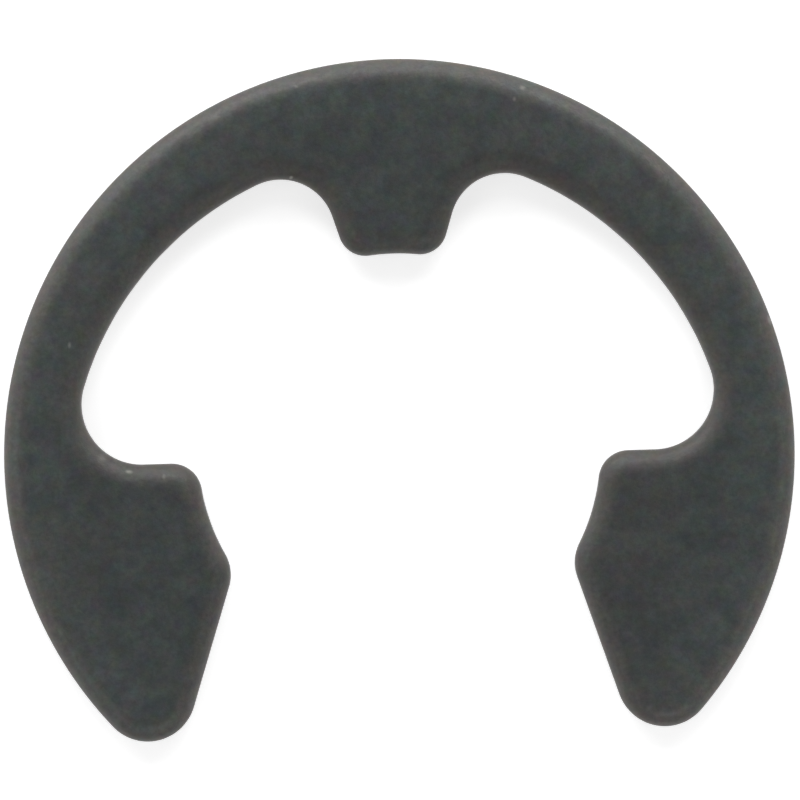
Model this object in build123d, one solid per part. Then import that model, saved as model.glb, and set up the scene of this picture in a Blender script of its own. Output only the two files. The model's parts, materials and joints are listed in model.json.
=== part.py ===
from build123d import *
import os
from math import cos, hypot, radians, sin, sqrt, tan

# An e clip, in millimetres: a retaining ring that is pushed sideways into the groove of a shaft and
# stops what runs on the shaft from coming off. It is one piece of spring steel, stamped from strip.
#
# The origin is the centre of the seat, on the face that the clip lies on. +Z goes up through the
# thickness to the face whose edges the die rolled over, and the mouth opens along -Y. The clip is
# the same on both sides of the YZ plane. It is laid out from the shaft's groove outward.

# The groove that it snaps into
groove_d = 15.0  # across the bottom of the groove
grip = 0.3  # the free seat is this much smaller across than the groove, so that it springs tight
horn_reach = 1.05  # how far each horn stands in from the side of the seat, which it snaps over
thickness = 1.5  # of the strip, for a groove 1.55 wide

# The spring: a tang behind the shaft, two arms round the back, and a prong at the end of each
tang_length = 3.7  # from the seat to the inner edge of the arms
tang_w = 3.5  # across the tang where it meets the seat, between its flanks
tang_flank_angle = 17.5  # each flank leans out from the centre line by this, in degrees
arm_at_tang = 3.4  # width of the arms in the middle of the back
arm_at_prong = 2.4  # width of each arm level with the shaft's centre, where its prong begins
shoulder_drop = 0.1  # the prongs' shoulders lie this far below the shaft's centre
lead_in_angle = 18.0  # each side of the mouth opens out from the centre line by this, in degrees

# Corner radii of the outline
tip_r = 1.75  # outer end of each prong
horn_r = 1.55  # inner corner of each prong, which rides over the shaft
shoulder_r = 1.1  # upper inner corner of each prong
lower_pocket_r = 2.2  # between shoulder and arm
upper_pocket_r = 2.0  # between arm and tang
tang_corner_r = 1.0  # the tang's two corners at the seat

# The sheared edge, from the upper face down: rolled edge, straight land, fracture band, broken burr
roll_r = 0.65  # edge that the die drew over, all round the upper face
fracture_depth = 0.5  # height of the band that broke away instead of being cut
fracture_lean = 3.0  # that band leans in by this towards the lower face, in degrees
burr_break = 0.12  # bevel that tumbling left in place of the burr, all round the lower face

# What follows from those sizes
seat_r = (groove_d - grip) / 2
mouth_half = seat_r - horn_reach
arm_back = seat_r + tang_length
rim_r = arm_back + arm_at_tang
arm_side = rim_r - arm_at_prong


def arm_window():
    """The opening between the arms and the seat, above the shoulders, with the tang left standing.

    The arms' inner edge is one arc, through the middle of the back and through the point on each
    side that is level with the shaft's centre. It is flatter than the rim, so the arms taper.
    """
    drop = (arm_side**2 - arm_back**2) / (2 * arm_back)
    inner_edge = Pos(0, -drop) * Circle(arm_back + drop)
    above_shoulders = Pos(0, rim_r - shoulder_drop) * Rectangle(2 * rim_r, 2 * rim_r)
    return (inner_edge & above_shoulders) - tang()


def tang():
    """The tongue that bears on the back of the shaft, wider at its root than at the seat."""
    lean = tan(radians(tang_flank_angle))
    half = tang_w / 2
    root_half = half + (rim_r - seat_r) * lean
    nose_half = half - half * lean
    nose_y = seat_r - half
    corners = (-root_half, rim_r), (root_half, rim_r), (nose_half, nose_y), (-nose_half, nose_y)
    return Polygon(*corners, align=None)


def mouth():
    """The way in for the shaft: narrowest between the horns, and wider below them.

    Each horn's arc touches the seat and stands mouth_half from the centre line. The lead-in line
    is the tangent of that arc which leans out by the lead-in angle.
    """
    angle = radians(lead_in_angle)
    horn_x = mouth_half + horn_r
    horn_y = -sqrt((seat_r + horn_r) ** 2 - horn_x**2)
    touch_x = horn_x - horn_r * cos(angle)
    touch_y = horn_y - horn_r * sin(angle)
    top_half = touch_x + touch_y * tan(angle)
    bottom_half = top_half + rim_r * tan(angle)
    corners = (top_half, 0), (bottom_half, -rim_r), (-bottom_half, -rim_r), (-top_half, 0)
    return Polygon(*corners, align=None)


def rounded(outline, corners, radius):
    """Round the corners of the outline that lie nearest to the given sharp ones."""
    return fillet([outline.vertices().sort_by_distance(corner)[0] for corner in corners], radius)


def clip_outline():
    """The flat shape that is stamped: sharp-cornered first, then every corner rounded."""
    sharp = Circle(rim_r) - Circle(seat_r) - arm_window() - mouth()
    tips, horns, shoulder_line, tang_corners, upper_pockets = sharp.vertices().group_by(Axis.Y)
    shoulder_line = shoulder_line.sort_by(lambda corner: hypot(corner.X, corner.Y))
    outline = rounded(sharp, tips, tip_r)
    outline = rounded(outline, horns, horn_r)
    outline = rounded(outline, shoulder_line[:2], shoulder_r)
    outline = rounded(outline, shoulder_line[2:], lower_pocket_r)
    outline = rounded(outline, upper_pockets, upper_pocket_r)
    return rounded(outline, tang_corners, tang_corner_r)


def stamped_clip():
    """The outline cut through the strip, with the edge that the punch and die leave."""
    clip = extrude(clip_outline(), thickness)
    lower_face = clip.faces().sort_by(Axis.Z)[0]
    lean_in = fracture_depth * tan(radians(fracture_lean))
    clip = chamfer(lower_face.edges(), lean_in, fracture_depth, reference=lower_face)
    clip = chamfer(clip.faces().sort_by(Axis.Z)[0].edges(), burr_break)
    return fillet(clip.faces().sort_by(Axis.Z)[-1].edges(), roll_r)


os.makedirs("parts", exist_ok=True)
export_step(stamped_clip(), "parts/e_clip.step")
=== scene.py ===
import cmath
import json
import math

import bpy
import numpy as np
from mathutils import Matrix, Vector, geometry, noise
from mathutils.kdtree import KDTree


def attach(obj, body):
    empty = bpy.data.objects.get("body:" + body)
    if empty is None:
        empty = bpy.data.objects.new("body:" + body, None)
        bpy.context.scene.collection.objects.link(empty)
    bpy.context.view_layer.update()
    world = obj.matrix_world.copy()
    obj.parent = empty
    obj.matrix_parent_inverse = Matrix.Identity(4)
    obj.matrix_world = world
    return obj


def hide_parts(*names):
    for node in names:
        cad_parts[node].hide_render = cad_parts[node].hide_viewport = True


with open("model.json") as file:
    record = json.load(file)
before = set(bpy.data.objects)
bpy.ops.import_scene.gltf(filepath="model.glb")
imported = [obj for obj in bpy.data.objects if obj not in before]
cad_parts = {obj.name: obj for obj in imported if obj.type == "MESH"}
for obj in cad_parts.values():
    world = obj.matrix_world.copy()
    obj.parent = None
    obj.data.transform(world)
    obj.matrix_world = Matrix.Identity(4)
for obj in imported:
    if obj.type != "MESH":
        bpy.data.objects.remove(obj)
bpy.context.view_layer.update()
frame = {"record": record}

# ---- The clip ------------------------------------------------------------------------------------
# An e clip is one piece of spring steel, punched out of strip in a single stroke. The die draws the
# edges of its upper face over, the punch leaves a straight land below them, and the last third of
# the thickness breaks away. The clip is then hardened, tumbled, phosphated and oiled.

MM = 0.001
record = frame["record"]
width, _, thickness = (side / MM for side in record["size"]["bbox_m"])
seat_r = next(m["dims"]["r_mm"] for m in record["mounts"] if m["name"] == "groove_seat")
rim_r = width / 2

arm_at_tang = 3.4  # width of the arms in the middle of the back
arm_at_prong = 2.4  # width of each arm level with the shaft's centre
tang_w = 3.5  # across the tang where it meets the seat
tang_flank = math.radians(17.5)  # lean of its flanks
horn_reach = 1.05  # how far each horn stands in from the side of the seat
lead_in = math.radians(18)  # lean of the mouth's sides
shoulder_drop = 0.1  # from the shaft's centre down to the prongs' shoulders
tip_r = 1.75
horn_r = 1.55
shoulder_r = 1.1
lower_pocket_r = 2.2
upper_pocket_r = 2.0
tang_corner_r = 1.0

roll_w = 0.92  # the rolled edge reaches this far in over the upper face
roll_d = 0.6  # and this far down the side
fracture_h = 0.5  # height of the band that broke away
fracture_lean = math.radians(3)
burr_r = 0.12  # rounding that tumbling left all round the lower face
ridge_at = 0.47  # where the roll stands proudest, has rubbed and carries a painted highlight, in from the outline
ridge_w = 0.14
streak_shape = 0.3  # how much shorter the rubbed streaks are across than along the edge
ridge_rub_and_highlight = 0.6  # how strong the ridge's band of rubbing and painted highlight is on the whole
ridge_streaks = 0.7  # and how much more or less in streaks
rub_straight = 0.5  # share of that rubbing which a straight edge gets
rub_by_bend = 10  # how much the share rises with one over the outline's radius
rub_sheltered = 0.12  # the least that reaches into an inside curve
corner_draw = 0.05  # share by which the die draws outside corners further over, and inside ones less
edge_draw = 0.03  # share by which the roll varies along the edge
tear_waves = 0.09  # how far the torn band's upper border strays in long waves
tear_teeth = 0.05  # and in short ones
crumble_d = 0.012  # depth of the torn band's grain
burr_tone = 0.5  # how much of the rolled edge's tone the foot has

outline_spacing = 0.1  # between the mesh's points along the outline
face_spacing = 0.45  # and over the two faces
roll_rings = 19
land_rings = 7
fracture_rings = 8
burr_rings = 5
bend_window = 11  # points along the outline over which its bend is averaged


def reach(start, heading, centre, distance):
    """The point on a straight path that lies at a distance from a centre, ahead of start."""
    offset = start - centre
    ahead = (offset * heading.conjugate()).real
    return start + heading * (math.sqrt(distance**2 - abs(offset) ** 2 + ahead**2) - ahead)


def half_outline():
    """The right half of the outline, as arcs that follow each other clockwise from the rim's top.

    Points are complex numbers, x + yj. Each arc is its centre, its radius, and the directions from
    the centre to its two ends. Where one arc ends short of the next, a straight edge joins them.
    """
    arm_back = rim_r - arm_at_tang
    arm_side = rim_r - arm_at_prong
    arm_centre = -1j * (arm_side**2 - arm_back**2) / (2 * arm_back)
    arm_r = abs(arm_back * 1j - arm_centre)

    lead = cmath.rect(1, lead_in - math.pi / 2)
    horn_x = seat_r - horn_reach + horn_r
    horn = horn_x - 1j * math.sqrt((seat_r + horn_r) ** 2 - horn_x**2)
    tip = reach(horn + 1j * lead * (tip_r - horn_r), lead, 0, rim_r - tip_r)
    shoulder = reach(-1j * (shoulder_drop + shoulder_r), 1, 0, seat_r + shoulder_r)
    lower_pocket = reach(
        1j * (lower_pocket_r - shoulder_drop), 1, arm_centre, arm_r - lower_pocket_r)

    flank = cmath.rect(1, math.pi / 2 - tang_flank)
    nose_corner = tang_w / 2 + 1j * seat_r
    upper_pocket = reach(
        nose_corner - 1j * flank * upper_pocket_r, flank, arm_centre, arm_r - upper_pocket_r)
    tang_corner = reach(nose_corner + 1j * flank * tang_corner_r, flank, 0, seat_r + tang_corner_r)

    return [
        (0, rim_r, 1j, tip),
        (tip, tip_r, tip, -1j * lead),
        (horn, horn_r, -1j * lead, -horn),
        (0, seat_r, horn, shoulder),
        (shoulder, shoulder_r, -shoulder, 1j),
        (lower_pocket, lower_pocket_r, -1j, lower_pocket - arm_centre),
        (arm_centre, arm_r, lower_pocket - arm_centre, upper_pocket - arm_centre),
        (upper_pocket, upper_pocket_r, upper_pocket - arm_centre, 1j * flank),
        (tang_corner, tang_corner_r, -1j * flank, -tang_corner),
        (0, seat_r, tang_corner, 1j),
    ]


def walk(arcs, spacing):
    """Points along the outline, the normals that point out of the steel there, and the bends.

    A bend is one over the radius, above zero where the outline is convex. Convex arcs turn
    clockwise and have the steel on their centre's side.
    """
    points, normals, bends = [], [], []
    for (centre, radius, first, last), following in zip(arcs, arcs[1:] + [None]):
        sweep = cmath.phase(last / first)
        side = 1 if sweep < 0 else -1
        steps = max(2, math.ceil(radius * abs(sweep) / spacing))
        for turn in np.arange(steps) * sweep / steps:
            normal = first / abs(first) * cmath.exp(1j * turn)
            points.append(centre + radius * normal)
            normals.append(side * normal)
            bends.append(side / radius)
        if following is None:
            continue
        normal = last / abs(last)
        edge_start = centre + radius * normal
        edge_end = following[0] + following[1] * following[2] / abs(following[2])
        steps = round(abs(edge_end - edge_start) / spacing)
        for part in range(steps):
            points.append(edge_start + (edge_end - edge_start) * part / steps)
            normals.append(side * normal)
            bends.append(0.0)
    return np.array(points), np.array(normals), np.array(bends)


def speckle(points, size):
    """Smooth noise at each point, about -1 to 1, with features of a size in millimetres."""
    return np.array([noise.noise(Vector(point) / size) for point in points])


def edge_rings(points, normals, bends):
    """The sheared edge, as rings round the outline from the upper face down to the lower one.

    Each ring is its inset from the outline, its height, and its shares of rolled edge, of worn
    ridge with a painted highlight on it, of burnished land and of torn steel.
    """
    window = np.ones(bend_window) / bend_window
    corner = np.convolve(np.tile(bends, 3), window, "same")[len(bends):2 * len(bends)]
    plan = np.column_stack([points.real, points.imag, np.zeros(len(points))])
    drawn = 1 + corner_draw * np.clip(corner, -1, 1) + edge_draw * speckle(plan, size=2.3)
    tear = fracture_h + tear_waves * speckle(plan, size=1.1)
    tear = tear + tear_teeth * speckle(plan, size=0.35)
    full = np.ones(len(points))
    none = 0 * full
    # The tumbling stones rub the outside of the clip, and hardly reach into its inside curves.
    open_side = np.clip(rub_straight + rub_by_bend * corner, rub_sheltered, 1)
    # The rubbed streaks run along the edge, so their noise is laid out on a ring of its length.
    lengths = np.cumsum(abs(points - np.roll(points, 1)))
    lap = np.exp(2j * math.pi * lengths / lengths[-1]) * lengths[-1] / (2 * math.pi) * streak_shape
    rings = []
    for angle in np.radians(np.linspace(90, 0, roll_rings)):
        inset = roll_w * drawn * (1 - math.cos(angle))
        height = thickness - roll_d * drawn * (1 - math.sin(angle))
        rolled = np.clip(1 - inset / (roll_w * drawn), 0, 1)
        streaks = speckle(np.column_stack([lap.real, lap.imag, inset]), size=0.2)
        # The ridge band is partly rubbed coat and partly a painted highlight along the ridge.
        worn_and_highlit = np.exp(-(((inset - ridge_at) / ridge_w) ** 2))
        worn_and_highlit = worn_and_highlit * (ridge_rub_and_highlight + ridge_streaks * streaks) * open_side
        rings.append((inset, height, rolled, worn_and_highlit, none, none))
    land_top = thickness - roll_d * drawn
    for part in np.linspace(0, 1, land_rings)[1:]:
        height = land_top + (tear - land_top) * part
        rings.append((none, height, full, none, full, none))
    for part in np.linspace(0, 1, fracture_rings)[1:]:
        height = tear + (burr_r - tear) * part
        crumble = speckle(np.column_stack([plan[:, 0], plan[:, 1], height]), size=0.22)
        inset = (tear - height) * math.tan(fracture_lean) + crumble_d * (1 + crumble)
        rings.append((inset, height, none, none, none, full))
    foot = rings[-1][0]
    for angle in np.radians(np.linspace(0, 90, burr_rings)[1:]):
        inset = foot + burr_r * (1 - math.cos(angle))
        height = burr_r * (1 - math.sin(angle)) * full
        rings.append((inset, height, burr_tone * full, none, none, none))
    return rings


def flat_fill(loop, spacing):
    """An even triangle mesh inside a closed loop: the points it adds, and its triangles.

    Triangles number the loop's points first, and the added points after them.
    """
    nearest = KDTree(len(loop))
    for number, point in enumerate(loop):
        nearest.insert((point.real, point.imag, 0), number)
    nearest.balance()
    margin = 0.6 * spacing  # points nearer to the loop than this would make slivers
    inside = []
    for y in np.arange(loop.imag.min(), loop.imag.max(), spacing):
        for x in np.arange(loop.real.min(), loop.real.max(), spacing):
            if nearest.find((x, y, 0))[2] > margin:
                inside.append(complex(x, y))
    flat = [Vector((p.real, p.imag)) for p in [*loop, *inside]]
    _, _, triangles, sources, _, _ = geometry.delaunay_2d_cdt(
        flat, [], [list(range(len(loop)))], 1, 1e-6)
    triangles = [[sources[corner][0] for corner in triangle] for triangle in triangles]
    used = sorted({corner for triangle in triangles for corner in triangle if corner >= len(loop)})
    number = {old: new for new, old in enumerate(used, len(loop))}
    triangles = [[number.get(corner, corner) for corner in triangle] for triangle in triangles]
    return [inside[old - len(loop)] for old in used], triangles


def clip_mesh():
    """The whole clip as one closed mesh in metres, with its wear and the ridge's painted highlight
    as attributes of the points.
    """
    right, right_normals, right_bends = walk(half_outline(), outline_spacing)
    # The left half mirrors the right one, in reverse. The top of the rim is on both, and stays
    # once.
    points = np.concatenate([right, [1j * seat_r], -right[:0:-1].conjugate()])
    normals = np.concatenate([right_normals, [-1j], -right_normals[:0:-1].conjugate()])
    bends = np.concatenate([right_bends, [-1 / seat_r], right_bends[:0:-1]])

    rings = edge_rings(points, normals, bends)
    count = len(points)
    corners, marks = [], []
    for inset, height, *shares in rings:
        ring = points - inset * normals
        corners.append(np.column_stack([ring.real, ring.imag, height]))
        marks.append(np.column_stack(shares))
    faces = []
    for ring in range(len(rings) - 1):
        for place in range(count):
            near, far = ring * count + place, ring * count + (place + 1) % count
            faces.append((near, far, far + count, near + count))
    for ring, upper in ((0, True), (len(rings) - 1, False)):
        loop = points - rings[ring][0] * normals
        added, triangles = flat_fill(loop, face_spacing)
        first_added = sum(len(part) for part in corners)
        for triangle in triangles:
            numbers = [c + ring * count if c < count else c - count + first_added for c in triangle]
            faces.append(numbers[::1 if upper else -1])
        height = thickness if upper else 0.0
        corners.append(np.array([(p.real, p.imag, height) for p in added]))
        marks.append(np.zeros((len(added), 4)))

    mesh = bpy.data.meshes.new("e_clip_stamping")
    mesh.from_pydata(np.concatenate(corners) * MM, [], faces)
    for name, values in zip(("rolled", "worn_and_highlit", "land", "torn"), np.concatenate(marks).T):
        mesh.attributes.new(name, "FLOAT", "POINT").data.foreach_set("value", values)
    mesh.polygons.foreach_set("use_smooth", [True] * len(mesh.polygons))
    return mesh


clip = bpy.data.objects.new("e_clip_stamping", clip_mesh())
bpy.context.scene.collection.objects.link(clip)


def linear(code):
    """The linear colour of an sRGB hex code."""
    shares = [int(code[place:place + 2], 16) / 255 for place in (1, 3, 5)]
    return [s / 12.92 if s <= 0.04045 else ((s + 0.055) / 1.055) ** 2.4 for s in shares] + [1]


def add(tree, kind, sockets=None, **settings):
    """Add a node. Its sockets, by name or number, take a value or another node's output."""
    new = tree.nodes.new("ShaderNode" + kind)
    for name, value in settings.items():
        setattr(new, name, value)
    for socket, value in (sockets or {}).items():
        if isinstance(value, bpy.types.NodeSocket):
            tree.links.new(value, new.inputs[socket])
        else:
            new.inputs[socket].default_value = value
    return new


# Phosphated spring steel: a matt, nearly black coat of fine crystals, soaked with oil, so it is
# mottled in tone and tint. It is made lighter toward the rim, and lighter again over the roll's
# ridge, partly rubbed and partly a painted highlight.
# Here and there tumbling has bared a speck of steel. The land has drag lines, the torn band is
# rough.
steel = bpy.data.materials.new("phosphated_spring_steel")
steel.use_nodes = True
tree = steel.node_tree
shader = tree.nodes["Principled BSDF"]

coat_dark, coat_light = linear("#323838"), linear("#3c4140")
coat_warm = linear("#403b39")
coat_strained = linear("#46403a")
# The ridge's colour is partly real wear and partly a painted highlight.
rubbed_and_highlight, bared = linear("#494b48"), linear("#a9a8a2")
rim_lightening = 1.2  # how much lighter the coat is made near the rim
lighten_from, lighten_full = 3.1, 0.6  # that lightening, in from the rim
glint_low, glint_high = 0.76, 1.24  # the crystals' darkest and lightest
coat_roughness, rubbed_roughness = 0.50, 0.39

# How large the coat's patterns are, in millimetres. Real crystals are about 0.01 mm across, and
# these are as fine as can show.
stain_size, drift_size, tint_size, patch_size = 0.9, 3.0, 0.5, 0.55
crystal_size = 0.2
drag_size, grit_size = 0.09, 0.14  # lines down the land, and grain of the torn band

metres = add(tree, "TexCoord").outputs["Object"]
place = add(tree, "VectorMath", {0: metres, "Scale": 1 / MM}, operation="SCALE").outputs[0]
stains = add(tree, "TexNoise", {"Vector": place, "Scale": 1 / stain_size,
                                "Detail": 3.0, "Roughness": 0.55})
drift = add(tree, "TexNoise", {"Vector": place, "Scale": 1 / drift_size, "Detail": 2.0})
tints = add(tree, "TexNoise", {"Vector": place, "Scale": 1 / tint_size,
                               "Detail": 3.0, "Roughness": 0.6})
crystals = add(tree, "TexNoise", {"Vector": place, "Scale": 1 / crystal_size,
                                  "Detail": 4.0, "Roughness": 0.75})

stained = add(tree, "MapRange", {0: stains.outputs["Fac"], 1: 0.35, 2: 0.65})
coat = add(tree, "Mix", {0: stained.outputs[0], 6: coat_dark, 7: coat_light}, data_type="RGBA")
warmed = add(tree, "MapRange", {0: drift.outputs["Fac"], 1: 0.45, 2: 0.7, 4: 0.35})
coat = add(tree, "Mix", {0: warmed.outputs[0], 6: coat.outputs[2], 7: coat_warm}, data_type="RGBA")

marks = {}
for name in ("rolled", "worn_and_highlit", "land", "torn"):
    marks[name] = add(tree, "Attribute", attribute_name=name).outputs["Fac"]
patches = add(tree, "TexNoise", {"Vector": place, "Scale": 1 / patch_size,
                                 "Detail": 4.0, "Roughness": 0.65})
patchy = add(tree, "MapRange", {0: patches.outputs["Fac"], 1: 0.34, 2: 0.64, 3: 0.3})
strained = add(tree, "Math", {0: marks["rolled"], 1: patchy.outputs[0]}, operation="MULTIPLY")
coat = add(tree, "Mix", {0: strained.outputs[0], 6: coat.outputs[2], 7: coat_strained},
           data_type="RGBA")
# The ridge band, partly rubbed coat and partly a painted highlight, is mixed in.
wear_and_highlight = add(tree, "Math", {0: marks["worn_and_highlit"], 1: patchy.outputs[0]},
           operation="MULTIPLY", use_clamp=True)
coat = add(tree, "Mix", {0: wear_and_highlight.outputs[0], 6: coat.outputs[2], 7: rubbed_and_highlight}, data_type="RGBA")

# The coat's colour is made lighter toward the rim, all round.
radius = add(tree, "VectorMath", {0: place}, operation="LENGTH")
lift = add(tree, "MapRange", {0: radius.outputs["Value"], 1: rim_r - lighten_from,
                              2: rim_r - lighten_full, 3: 0.97, 4: rim_lightening},
           interpolation_type="SMOOTHSTEP")
glint = add(tree, "MapRange", {0: crystals.outputs["Fac"], 1: 0.3, 2: 0.7,
                               3: glint_low, 4: glint_high})
lift = add(tree, "Math", {0: lift.outputs[0], 1: glint.outputs[0]}, operation="MULTIPLY")
coat = add(tree, "VectorMath", {0: coat.outputs[2], "Scale": lift.outputs[0]}, operation="SCALE")
tint = add(tree, "VectorMath", {0: tints.outputs["Color"], 1: [0.7] * 3, 2: [0.65] * 3},
           operation="MULTIPLY_ADD")
coat = add(tree, "VectorMath", {0: coat.outputs[0], 1: tint.outputs[0]}, operation="MULTIPLY")

# Specks of bare steel: across, up, half length, half width, heading in degrees, and brightness.
# Each goes straight down through the whole clip, so one that lies at an edge also shows as a line
# on the side below it, and all show on the lower face.
speck_depth = 100.0  # far more than the thickness
bare = 0.0
for across, up, long, wide, heading, bright in (
    (-3.36, 13.51, 0.07, 0.05, -20, 0.15),
    (4.88, 13.22, 0.10, 0.08, -30, 0.22),
    (4.57, 12.81, 0.06, 0.08, 0, 0.25),
    (-3.65, 10.21, 0.07, 0.05, 20, 0.6),
    (-11.89, 4.34, 0.06, 0.10, 0, 0.25),
    (-9.87, -0.34, 0.13, 0.06, -10, 0.35),
    (-8.60, -0.55, 0.06, 0.09, 0, 0.16),
    (13.65, 4.49, 0.07, 0.16, 15, 0.35),
    (-10.84, 0.19, 0.14, 0.14, 0, 0.12),
):
    spot = add(tree, "Mapping", {"Vector": place, "Location": (across, up, 0.0),
                                 "Rotation": (0.0, 0.0, math.radians(heading)),
                                 "Scale": (long, wide, speck_depth)}, vector_type="TEXTURE")
    away = add(tree, "VectorMath", {0: spot.outputs[0]}, operation="LENGTH")
    speck = add(tree, "MapRange", {0: away.outputs["Value"], 1: 0.3, 2: 1.4, 3: bright, 4: 0.0})
    bare = add(tree, "Math", {0: speck.outputs[0], 1: bare}, operation="MAXIMUM").outputs[0]
finished = add(tree, "Mix", {0: bare, 6: coat.outputs[0], 7: bared}, data_type="RGBA")
tree.links.new(finished.outputs[2], shader.inputs["Base Color"])

smooth = add(tree, "MapRange", {0: wear_and_highlight.outputs[0], 3: coat_roughness, 4: rubbed_roughness})
tree.links.new(smooth.outputs[0], shader.inputs["Roughness"])
tree.links.new(bare, shader.inputs["Metallic"])

# Relief in millimetres: crystals and slow ripples all over, drag lines down the land, torn grain.
along = add(tree, "Mapping", {"Vector": place, "Scale": (1.0, 1.0, 0.06)})
drag = add(tree, "TexNoise", {"Vector": along.outputs[0], "Scale": 1 / drag_size, "Detail": 2.0})
grit = add(tree, "TexNoise", {"Vector": place, "Scale": 1 / grit_size,
                              "Detail": 4.0, "Roughness": 0.7})
relief = 0.0
for height, share, mask in (
    (crystals.outputs["Fac"], 0.011, 1.0),
    (stains.outputs["Fac"], 0.010, 1.0),
    (drag.outputs["Fac"], 0.010, marks["land"]),
    (grit.outputs["Fac"], 0.045, marks["torn"]),
):
    share = add(tree, "Math", {0: mask, 1: share}, operation="MULTIPLY").outputs[0]
    relief = add(tree, "Math", {0: height, 1: share, 2: relief}, operation="MULTIPLY_ADD").outputs[0]
bump = add(tree, "Bump", {"Height": relief, "Distance": MM, "Strength": 1.0})
tree.links.new(bump.outputs[0], shader.inputs["Normal"])

clip.data.materials.append(steel)
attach(clip, "root")
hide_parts("e_clip")

# ---- The studio ----------------------------------------------------------------------------------
# The clip lies on a plain white floor, in a tent of thirteen soft lamps. The strongest stand behind
# its back, so that the rolled edges which face them catch the light. The room adds a little.

floor_half = 1.0
paper_glow = 0.62  # what the paper adds where the camera sees it, so that it shows white
room_light = 0.09
lamp_distance = 0.5  # metres
floor_mesh = bpy.data.meshes.new("floor")
corners = [(x * floor_half, y * floor_half, 0) for x, y in ((-1, -1), (1, -1), (1, 1), (-1, 1))]
floor_mesh.from_pydata(corners, [], [(0, 1, 2, 3)])
floor = bpy.data.objects.new("floor", floor_mesh)
bpy.context.scene.collection.objects.link(floor)

paper = bpy.data.materials.new("white_paper")
paper.use_nodes = True
tree = paper.node_tree
tree.nodes["Principled BSDF"].inputs["Base Color"].default_value = linear("#e6e6e6")
tree.nodes["Principled BSDF"].inputs["Roughness"].default_value = 1.0
tree.nodes["Principled BSDF"].inputs["Specular IOR Level"].default_value = 0.0
path = add(tree, "LightPath")
seen = add(tree, "Math", {0: path.outputs["Is Camera Ray"], 1: path.outputs["Is Glossy Ray"]},
           operation="MAXIMUM")
seen = add(tree, "Math", {0: seen.outputs[0], 1: path.outputs["Is Transmission Ray"]},
           operation="MAXIMUM")
glow = add(tree, "Math", {0: seen.outputs[0], 1: paper_glow}, operation="MULTIPLY")
tree.nodes["Principled BSDF"].inputs["Emission Color"].default_value = (1, 1, 1, 1)
tree.links.new(glow.outputs[0], tree.nodes["Principled BSDF"].inputs["Emission Strength"])
floor_mesh.materials.append(paper)

world = bpy.data.worlds.new("white_room")
world.use_nodes = True
world.node_tree.nodes["Background"].inputs["Color"].default_value = (1, 1, 1, 1)
world.node_tree.nodes["Background"].inputs["Strength"].default_value = room_light
bpy.context.scene.world = world


# Each lamp: its bearing from the clip's back, its height above the floor as an angle, its size
# across and up in metres, and its power in watts.
tent = {
    "softbox_back_left": (-28, 28, 0.28, 0.14, 0.98),
    "softbox_back_right": (28, 28, 0.28, 0.14, 0.74),
    "softbox_back_high": (0, 45, 0.28, 0.14, 0.44),
    "panel_back": (0, 9, 0.50, 0.14, 0.60),
    "panel_left": (-60, 9, 0.40, 0.14, 0.66),
    "panel_right": (60, 9, 0.40, 0.14, 0.49),
    "panel_front_left": (-120, 9, 0.40, 0.14, 0.37),
    "panel_front_right": (120, 9, 0.40, 0.14, 0.40),
    "fill_left": (-95, 45, 0.28, 0.20, 0.17),
    "fill_right": (95, 45, 0.28, 0.20, 0.11),
    "fill_front_left": (-150, 42, 0.28, 0.20, 0.14),
    "fill_front_right": (150, 42, 0.28, 0.20, 0.28),
    "fill_front": (180, 25, 0.28, 0.20, 0.24),
}
for name, (bearing, rise, across, tall, power) in tent.items():
    light = bpy.data.lights.new(name, "AREA")
    light.shape = "RECTANGLE"
    light.size, light.size_y, light.energy = across, tall, power
    holder = bpy.data.objects.new(name, light)
    aim = cmath.rect(math.cos(math.radians(rise)), math.radians(90 - bearing))
    holder.location = Vector((aim.real, aim.imag, math.sin(math.radians(rise)))) * lamp_distance
    holder.rotation_euler = holder.location.to_track_quat("Z", "Y").to_euler()
    bpy.context.scene.collection.objects.link(holder)

# ---- The camera ----------------------------------------------------------------------------------
# It looks straight down on the clip from far off, a little turned, with the clip's back upward.

view_wide = 29.24  # across the frame, in millimetres, at the height of the land's top
view_turn = math.radians(1.705)
view_centre = (0.083, 1.980)
camera_data = bpy.data.cameras.new("camera")
camera_data.lens = 200
camera_data.clip_start = 0.001
camera = bpy.data.objects.new("camera", camera_data)
distance = camera_data.lens / camera_data.sensor_width * view_wide + thickness - roll_d
camera.location = (view_centre[0] * MM, view_centre[1] * MM, distance * MM)
camera.rotation_euler = (0, 0, -view_turn)
bpy.context.scene.collection.objects.link(camera)
bpy.context.scene.camera = camera
bpy.context.scene.view_settings.view_transform = "Standard"
